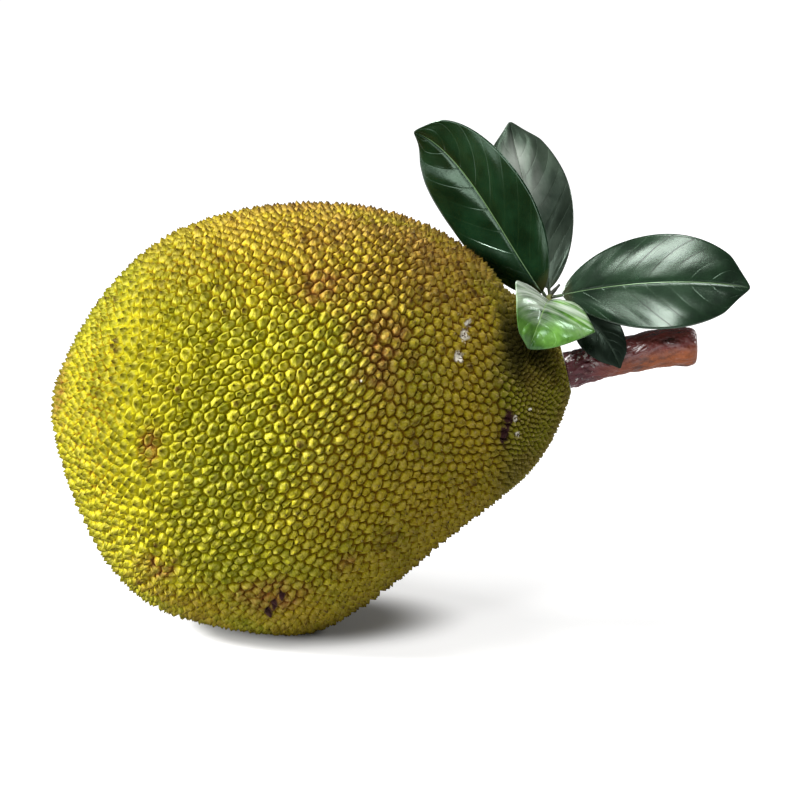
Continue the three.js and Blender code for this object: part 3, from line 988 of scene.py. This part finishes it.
leafShape = {
    "thickness": 0.55,
    "marginThin": (0.5, 0.6),  # share of the thickness lost at the margin, and where that starts
    "lengthSteps": 110,
    "widthSteps": 44,
    "crowding": 1.15,  # power that draws the grid's rows towards the midrib
    "quilt": 0.22,  # how far the blade swells between its side veins
    "wave": 0.75,
    "waveCounts": (14, 31, 4, 0.2),  # slow waves, finer ones, and the finer ones' slant and share
    "veinCount": 9,
    "veinSlant": 0.26,
    "veinBend": 1.3,
    "groove": (0.4, 0.045),  # how far the midrib is sunk into the upper face, and how wide
    "fromMidrib": (0.03, 0.35),  # where the relief comes in on the way out from the midrib
    "toMargin": (0.75, 0.6),  # where it weakens towards the margin, and by how much
    "fromBase": (0, 0.12),  # where it comes in along the leaf, and where it goes out
    "toTip": (0.85, 1),
    "usualWidth": 62,  # relief is scaled by the width over this one
    "blunt": 0.6,  # power of the outline's sine
    "tipNarrows": (0.86, 0.4),  # where the tip starts to narrow further, and by how much
    "leastHalf": 0.8,
    "ripple": (0.035, 9, (1, 3)),  # share of the half width, count, and the start on each side
    "rib": {"sides": 14, "rings": 60, "base": 1.2, "tip": 0.35, "reach": 0.95, "lowered": 0.85},
}

plainLeaf = {"arch": (0.12, 0.12), "petiole": 0.04, "fold": 8, "slot": "leaf_dark"}

leaves = [
    {
        **plainLeaf,
        "node": "leaf_upper_left",
        "name": "leafUpperLeft",
        "curve": [(165.2, 4.6, 206.8), (141.8, 24, 234.4), (113.9, 46, 296.9), (83.3, 50, 305)],
        "across": (0.78, -0.6, 0.46),
        "halfWidth": (33, 36),
        "peak": (1.04, 0.9),
        "fold": 12,
        "arch": (0.2, 0.12),
        "waves": (0.5, 2),
        "relief": 0.8,
        "look": "leafDark",
    },
    {
        **plainLeaf,
        "node": "leaf_upper_back",
        "name": "leafUpperBack",
        "curve": [(167.2, 6.6, 208.4), (164, 34, 239.3), (150.4, 60, 273.9), (144, 66, 309.9)],
        "across": (0.9, 0.1, 0.1),
        "halfWidth": (24, 27.5),
        "peak": (1.1, 1.18),
        "waves": (1.5, 3.6),
        "relief": 1,
        "look": "leafGrey",
    },
    {
        **plainLeaf,
        "node": "leaf_right",
        "name": "leafRight",
        "curve": [(168, 2.5, 208), (203.3, -6, 218.2), (251.9, -10, 223.1), (288.5, -12, 216)],
        "across": (0.05, -0.45, -0.95),
        "halfWidth": (31, 31),
        "peak": (1.1, 1.1),
        "fold": 10,
        "petiole": 0.06,
        "waves": (4.4, 1.2),
        "relief": 0.3,
        "look": "leafGlossy",
    },
    {
        **plainLeaf,
        "node": "leaf_hanging",
        "name": "leafHanging",
        "curve": [(172, 2.6, 200.5), (187.5, -4, 201), (200.5, -17, 190.3), (209.2, -19.5, 167.6)],
        "across": (-0.75, 0, -0.6),
        "halfWidth": (13, 15),
        "peak": (1.15, 1.15),
        "petiole": 0.12,
        "waves": (1, 4),
        "relief": 0.5,
        "look": "leafPaintedShade",
    },
    {
        **plainLeaf,
        "node": "leaf_young",
        "name": "leafYoung",
        "curve": [(166.5, 1.5, 204), (165.3, -30, 217), (158.1, -58, 205), (151.7, -56, 185.9)],
        "across": (-0.94, -0.1, 0.3),
        "halfWidth": (36, 24),
        "peak": (1.45, 0.6),
        "fold": 24,
        "petiole": 0.08,
        "waves": (0, 3),
        "relief": 0.9,
        "corner": (0.62, 0.73),  # its first half comes to a corner here, with sides bowed by this power
        "slot": "leaf_young",
        "look": "leafFresh",
    },
]


def leafCurve(leaf, s):
    # cubic Bezier: the sum of its four points by (1-s)^3, 3s(1-s)^2, 3s^2(1-s) and s^3
    a, b, c, d = np.array(leaf["curve"], float)
    s = np.asarray(s, float)[..., None]
    point = a * (1 - s) ** 3 + 3 * b * s * (1 - s) ** 2 + 3 * c * s ** 2 * (1 - s) + d * s ** 3
    slope = (b - a) * (1 - s) ** 2 + 2 * (c - b) * s * (1 - s) + (d - c) * s ** 2
    return point, unit(slope)


def leafFrame(leaf, s):
    # across made square to the midrib, and the way out of the upper face
    point, tangent = leafCurve(leaf, s)
    across = np.broadcast_to(np.array(leaf["across"], float), tangent.shape)
    across = unit(across - dot(across, tangent) * tangent)
    return point, tangent, across, np.cross(across, tangent)


def bladeRelief(leaf, u, v):
    # swells between side veins, as |sin| of their phase, and slower waves that follow them loosely,
    # both fading at midrib and margin, less the midrib's groove
    phase = u - leafShape["veinSlant"] * np.abs(v) ** leafShape["veinBend"]
    swell = leafShape["quilt"] * (np.abs(np.sin(math.pi * leafShape["veinCount"] * phase)) - 0.5)
    side = np.where(v < 0, leaf["waves"][0], leaf["waves"][1])
    slowCount, fineCount, fineSlant, fineShare = leafShape["waveCounts"]
    slow = np.sin(slowCount * phase + side)
    slow = slow + fineShare * np.sin(fineCount * phase - fineSlant * v + 2 * side)
    weakens, weaker = leafShape["toMargin"]
    fade = smoothStep(*leafShape["fromMidrib"], np.abs(v))
    fade = fade * (1 - weaker * smoothStep(weakens, 1, np.abs(v)))
    ends = smoothStep(*leafShape["fromBase"], u) * (1 - smoothStep(*leafShape["toTip"], u))
    deep, wide = leafShape["groove"]
    swell = leaf["relief"] * (swell + leafShape["wave"] * slow) * fade * ends
    return sum(leaf["halfWidth"]) / leafShape["usualWidth"] * (swell - deep * bell(v, 0, wide))


def bladeMiddle(leaf, u, v):
    # midrib + half v across cos f + (half |v| sin f + ripple - arch) out, for a half of width `half`
    point, tangent, across, out = leafFrame(leaf, leaf["petiole"] + (1 - leaf["petiole"]) * u)
    fold = math.radians(leaf["fold"])
    first = v < 0
    peak, full, arch = (np.where(first, *leaf[key]) for key in ("peak", "halfWidth", "arch"))
    narrows, narrower = leafShape["tipNarrows"]
    oval = np.maximum(0, np.sin(math.pi * u ** peak)) ** leafShape["blunt"]
    oval = oval * (1 - narrower * smoothStep(narrows, 1, u))
    if "corner" in leaf:
        place, power = leaf["corner"]
        wedge = np.minimum(u / place, (1 - u) / (1 - place)) ** power
        oval = np.where(first, wedge, oval)
    half = np.maximum(full * oval, leafShape["leastHalf"])
    share, count, starts = leafShape["ripple"]
    ripple = share * half * np.sin(count * u + np.where(first, *starts)) * v * v
    lift = half * np.abs(v) * math.sin(fold) + ripple - arch * half * v * v
    return point + across * (half * v * math.cos(fold))[..., None] + out * lift[..., None], out


def buildLeaf(leaf, material):
    # an upper and a lower sheet joined round the margin, with a tapered rib under the midrib
    rows, columns = leafShape["lengthSteps"] + 1, leafShape["widthSteps"] + 1
    u, v = np.meshgrid(np.linspace(0, 1, rows), np.linspace(-1, 1, columns), indexing="ij")
    v = np.sign(v) * np.abs(v) ** leafShape["crowding"]
    middle, out = bladeMiddle(leaf, u, v)
    relief = bladeRelief(leaf, u, v)[..., None]
    lost, start = leafShape["marginThin"]
    thin = leafShape["thickness"] / 2 * (1 - lost * smoothStep(start, 1, np.abs(v)))[..., None]
    upper = middle + out * (relief + thin)
    lower = middle + out * (relief - thin)
    sheet = rows * columns
    face = gridTriangles(rows, columns)
    number = np.arange(sheet).reshape(rows, columns)
    rim = np.concatenate([number[0, :-1], number[:-1, -1], number[-1, :0:-1], number[:0:-1, 0]])
    ahead = np.roll(rim, -1)
    # the upper face turns the other way round the rim from the lower one
    edge = np.vstack([
        np.stack([rim, rim + sheet, ahead + sheet], -1),
        np.stack([rim, ahead + sheet, ahead], -1),
    ])
    blade = np.vstack([face, face[:, ::-1] + sheet, edge])

    rib = leafShape["rib"]
    s = np.linspace(0, 1, rib["rings"])
    centre, tangent, across, outward = leafFrame(leaf, s * rib["reach"])
    centre = centre - outward * (rib["lowered"] * smoothStep(0, leaf["petiole"], s))[:, None]
    radius = blend(rib["base"], rib["tip"], np.sqrt(s))[:, None]
    ribPoints, ribTriangles = tubeAlong(centre, tangent, lambda w: radius + 0 * w[None], rib["sides"])
    ribU = np.concatenate([np.repeat(s, rib["sides"]), [0, 1]])

    points = np.vstack([upper.reshape(-1, 3), lower.reshape(-1, 3), ribPoints])
    triangles = np.vstack([blade, ribTriangles + 2 * sheet])
    bladeUv = np.stack([u.ravel(), v.ravel() / 2 + 0.5], -1)
    ribUv = np.stack([ribU, np.full(len(ribPoints), 0.5)], -1)
    uv = np.vstack([bladeUv, bladeUv, ribUv])
    number = np.arange(len(points))
    fields = {"upperSide": number < sheet, "ribPart": number >= 2 * sheet}
    return makePiece(leaf["name"], points, triangles, material, leaf["node"], fields, uv)


# what all leaves share, and below what is each one's own
leafLook = {
    "underside": (0.06, 0.10, 0.05),
    "vein": (0.02, 0.05, 0.018),
    "midrib": (0.12, 0.20, 0.08),
    "petiole": (0.03, 0.035, 0.012),
    "patches": (55, 4, 0.6),
    "specular": 0.5,
    "specularTint": (0.72, 1, 0.78),
    "coat": 0,
    "coatRoughness": 0.2,
    "veinWidth": 0.05,
    "midribWidth": 0.014,
    "veinShare": 0.14,
    "underShare": 0.8,
    "ribShare": 0.6,
    "underRougher": 0.25,
    "heights": (0.3, 0.4),  # the pores' share in the relief, and how far the veins are sunk in it
    "bump": (0.35, 0.0006),
    "noises": {
        "pores": (700, 3, 0.6),
        "streaks": (13, 4, 0.6),
        "darkStreaks": (9, 3, 0.6),
    },
    "ramps": {
        "greening": (0.35, 0.68),
        "dustPatches": (0.3, 0.65, 0.3, 1),
        "streakSide": (-0.05, 0.2, 0, 0.07),
        "streaks": (0.40, 0.64),
        "darkStreaks": (0.42, 0.58, 0.8, 0),
        "darkReach": (0.5, 0.8, 1, 0),
        "bloomReach": (0.3, 0.75, 1, 0),
        "bloomSide": (-0.25, 0.05, 0.5, 1),
        "petiole": (0.02, 0.07, 1, 0),
    },
}

leafLooks = {
    "leafDark": {
        "deep": (0.002, 0.009, 0.003),
        "green": (0.004, 0.020, 0.007),
        "roughness": (0.3, 0.7, 0.14, 0.24),
    },
    "leafGlossy": {
        "deep": (0.003, 0.010, 0.004),
        "green": (0.010, 0.030, 0.012),
        "roughness": (0.3, 0.7, 0.18, 0.28),
        "patches": (40, 4, 0.6),
        "coat": 0.55,
    },
    # the hanging leaf's colours, darkened for the shadow of the right leaf above it: painted shade
    "leafPaintedShade": {
        "deep": (0.001, 0.003, 0.0015),
        "green": (0.003, 0.007, 0.004),
        "underside": (0.04, 0.06, 0.035),
        "vein": (0.01, 0.02, 0.01),
        "midrib": (0.02, 0.035, 0.018),
        "roughness": (0.3, 0.7, 0.25, 0.4),
        "specular": 0.25,
    },
    "leafGrey": {
        "deep": (0.006, 0.013, 0.007),
        "green": (0.055, 0.076, 0.054),
        "underside": (0.08, 0.11, 0.07),
        "vein": (0.07, 0.10, 0.06),
        "midrib": (0.07, 0.09, 0.06),
        "roughness": (0.3, 0.7, 0.25, 0.4),
        "patches": (26, 4, 0.6),
        # a pale patch of painted sheen on the grey leaf: its colour, place and border
        "paintedSatin": (0.36, 0.39, 0.35),
        "satinPlace": ((0.68, 0.42, 0), (0.3, 0.42, 1)),  # centre and size along and across
        "satinBorder": {"Edge": 0.9, "Fray": 0.6, "Fray Scale": 5},
    },
    "leafFresh": {
        "deep": (0.022, 0.075, 0.010),
        "green": (0.13, 0.30, 0.045),
        "underside": (0.18, 0.36, 0.08),
        "vein": (0.25, 0.5, 0.10),
        "midrib": (0.32, 0.55, 0.15),
        "petiole": (0.42, 0.5, 0.16),
        "roughness": (0.3, 0.7, 0.14, 0.28),
        "bloom": (0.86, 0.94, 0.82),  # a painted sheen: pale streaks along the veins, strongest at the base, fainter on the first half
        "streakNarrow": 0.05,
    },
}


def buildVeinGroup():
    # side veins where Count (u - Slant |v|^bend) passes a whole number, and a midrib where |v| is small
    sockets = {"Along": 0.5, "Across": 0, "Count": 10, "Slant": 0.15, "Width": 0.06, "Midrib": 0.04}
    paint, given = newGroup("leafVeins", sockets, ["Veins", "Midrib"])
    across = given["Across"].maths("ABSOLUTE")
    bent = across.maths("POWER", leafShape["veinBend"]) * given["Slant"]
    away = ((given["Along"] - bent) * given["Count"]).maths("PINGPONG", 0.5)
    paint.node("NodeGroupOutput", {
        "Veins": away.ramp((0, given["Width"], 1, 0), smooth=True),
        "Midrib": across.ramp((0, given["Midrib"], 1, 0), smooth=True),
    })
    return paint.tree


veinGroup = buildVeinGroup()


def paintedSatinOver(skin, blade, flat, mottled):
    # a pale patch of painted sheen, broken up by the mottling
    centre, size = skin.look["satinPlace"]
    satin = skin.blotch(flat, centre, size, **skin.look["satinBorder"])
    return blade.cover("paintedSatin", satin * mottled.ramp("dustPatches"))


def paintedSheenOver(skin, blade, along, across):
    # dark streaks near the base, then pale ones of painted sheen, both drawn out along the side veins
    slanted = along - across.maths("ABSOLUTE") * leafShape["veinSlant"]
    streakPlace = {"X": slanted, "Y": across * skin.look["streakNarrow"]}
    drawnOut = skin.mask("ShaderNodeCombineXYZ", streakPlace)
    dark = skin.noise("darkStreaks", drawnOut).ramp("darkStreaks") * along.ramp("darkReach")
    pale = (skin.noise("streaks", drawnOut) + across.ramp("streakSide")).ramp("streaks")
    reach = along.ramp("bloomReach") * across.ramp("bloomSide")
    return blade.layers(("deep", dark), ("bloom", pale * reach))


def buildLeafMaterial(name, look):
    # green by noise, paler along veins and midrib, matt and lighter below
    material, skin = newMaterial(name, look)
    flat = skin.mask("ShaderNodeUVMap", uv_map="UVMap")
    along, half = skin.apart(flat, "X", "Y")
    across = half * 2 - 1
    veins = skin.node("ShaderNodeGroup", {
        "Along": along,
        "Across": across,
        "Count": leafShape["veinCount"],
        "Slant": leafShape["veinSlant"],
        "Width": look["veinWidth"],
        "Midrib": look["midribWidth"],
    }, node_tree=veinGroup).outputs
    sideVeins, midrib = Mask(skin, veins["Veins"]), Mask(skin, veins["Midrib"])
    mottled = skin.noise(look["patches"])
    blade = skin.mix(mottled.ramp("greening"), "deep", "green")
    blade = blade.cover("vein", sideVeins * look["veinShare"])
    # the grey leaf's pale patch is painted sheen
    if "paintedSatin" in look:
        blade = paintedSatinOver(skin, blade, flat, mottled)
    # the young leaf's pale streaks are painted sheen
    if "bloom" in look:
        blade = paintedSheenOver(skin, blade, along, across)
    below = 1 - skin.attribute("upperSide")
    blade = blade.layers(
        ("midrib", midrib),
        ("underside", below * look["underShare"]),
        ("midrib", skin.attribute("ribPart") * look["ribShare"]),
        ("petiole", along.ramp("petiole")),
    )
    poreShare, sunk = look["heights"]
    skin.finish({
        "Base Color": blade,
        "Roughness": mottled.ramp(look["roughness"]) + below * look["underRougher"],
        "Specular IOR Level": look["specular"],
        "Specular Tint": look["specularTint"],
        "Coat Weight": look["coat"],
        "Coat Roughness": look["coatRoughness"],
        "Normal": skin.bump(skin.noise("pores") * poreShare - sideVeins * sunk),
    })
    return material


buildRind(buildRindMaterial())
buildStalk(buildStalkMaterial())
buildTwig(buildTwigMaterial())
for leaf in leaves:
    buildLeaf(leaf, buildLeafMaterial(leaf["look"], {**leafLook, **leafLooks[leaf["look"]]}))


studio = {
    "target": (0.07456, 0, 0.14395),
    "elevation": 11,
    "distance": 1.8,
    "frameWidth": 0.496,  # metres across the view at the target
    "sensor": 36,
    "floorHalf": 20,
    "floor": (0.5, 0.5, 0.5),
    "floorGrain": (0.45, 0.45, 0.45),
    "black": (0, 0, 0),
    "white": (1, 1, 1),
    "floorRoughness": 0.8,
    "floorSpecular": 0.1,
    # what the floor adds to itself in the render, by the distance from the fruit in metres
    "floorGlow": (0.45, 2, 0.68, 0.95),
    # the oval under the fruit where the floor's glow is cut out: a painted contact shadow
    "paintedShadowOval": ((0.02, 0.015, 0), (0.105, 0.085, 0.1)),  # where that light fails under the fruit
    "paintedShadowBorder": {"Edge": 0.6, "Fray": 0},
    "bounce": 0.8,  # share of the floor's brightness that lights the fruit from below
    "glossGlow": 0.7,  # share of that light that mirrored rays see
    "sky": (0, 1, 0.2, 0.08),  # the sky's strength, at the end in reflections
    "noises": {"grain": (30, 2, 0.5)},
    "ramps": {"grain": (0.3, 0.7, 0, 0.06)},
    "lightTarget": (0, 0, 0.13),
    # place, size in metres, watts
    "lights": {
        "keyLight": ((-2.2, -0.65, 1.4), 0.45, 146),
        "sheenLight": ((-0.13, -1.65, 1.65), 0.46, 13.5),
        "panelLight": ((-1.5, -1.35, 0.4), 0.85, 15),
        "rimLight": ((1.7, 0.6, 0.9), 0.5, 10),
        "topLight": ((0.25, -0.1, 2), 0.5, 16),
    },
}


def placeInStudio(name, data, place=(0, 0, 0), target=None):
    # a lamp or camera looks from its place to its target
    made = bpy.data.objects.new(name, data)
    scene.collection.objects.link(made)
    if target:
        made.location = place
        away = Vector(target) - Vector(place)
        made.rotation_euler = away.to_track_quat("-Z", "Y").to_euler()
    return made


def buildCamera():
    # at its distance from the target, raised by the elevation, on the -Y side
    elevation = math.radians(studio["elevation"])
    x, y, z = studio["target"]
    far = studio["distance"]
    place = (x, y - far * math.cos(elevation), z + far * math.sin(elevation))
    data = bpy.data.cameras.new("studioCamera")
    data.sensor_width = studio["sensor"]
    data.lens = studio["sensor"] * far / studio["frameWidth"]
    scene.camera = placeInStudio("studioCamera", data, place, studio["target"])


def buildLight(name, place, size, watts):
    # a square panel that faces the fruit
    data = bpy.data.lights.new(name, "AREA")
    data.size = size
    data.energy = watts
    placeInStudio(name, data, place, studio["lightTarget"])


def buildFloor():
    # a wide level sheet just under the fruit, that shines by itself where it is looked at, except in an
    # oval under the fruit where the missing glow paints a contact shadow
    half = studio["floorHalf"]
    mesh = bpy.data.meshes.new("studioFloor")
    corners = [(-half, -half, 0), (half, -half, 0), (half, half, 0), (-half, half, 0)]
    mesh.from_pydata(corners, [], [(0, 1, 2, 3)])
    material, paper = newMaterial("floorPaper", studio)
    sheet = paper.mix(paper.noise("grain").ramp("grain"), "floor", "floorGrain")
    diffuse, mirrored, looked = (paper.ray(kind) for kind in ("Diffuse", "Glossy", "Camera"))
    seen = looked.larger(mirrored * studio["glossGlow"])
    centre, size = studio["paintedShadowOval"]
    # no glow in this oval under the fruit: a painted contact shadow
    under = paper.blotch(paper.place, centre, size, **studio["paintedShadowBorder"])
    away = paper.vector("LENGTH", paper.place)
    glow = away.ramp(studio["floorGlow"], smooth=True) * seen * (1 - under)
    paper.finish({
        "Base Color": sheet.cover("black", diffuse * (1 - studio["bounce"])),
        "Roughness": studio["floorRoughness"],
        "Specular IOR Level": studio["floorSpecular"],
        "Emission Color": paper.mix(glow, "black", "white"),
        "Emission Strength": 1,
    })
    mesh.materials.append(material)
    placeInStudio("studioFloor", mesh)


def buildSky():
    # white where it is looked at, and faint where it only lights or is mirrored
    world = bpy.data.worlds.new("studioSky")
    world.use_nodes = True
    sky = Paint(world.node_tree, studio)
    mirrored, looked = sky.ray("Glossy"), sky.ray("Camera")
    backdrop = world.node_tree.nodes["Background"].inputs
    backdrop["Color"].default_value = (*studio["white"], 1)
    strength = mirrored.ramp(studio["sky"]).larger(looked)
    world.node_tree.links.new(strength.socket, backdrop["Strength"])
    scene.world = world


scene.view_settings.view_transform = "Standard"
buildCamera()
for name, values in studio["lights"].items():
    buildLight(name, *values)
buildFloor()
buildSky()
print("studio ready")
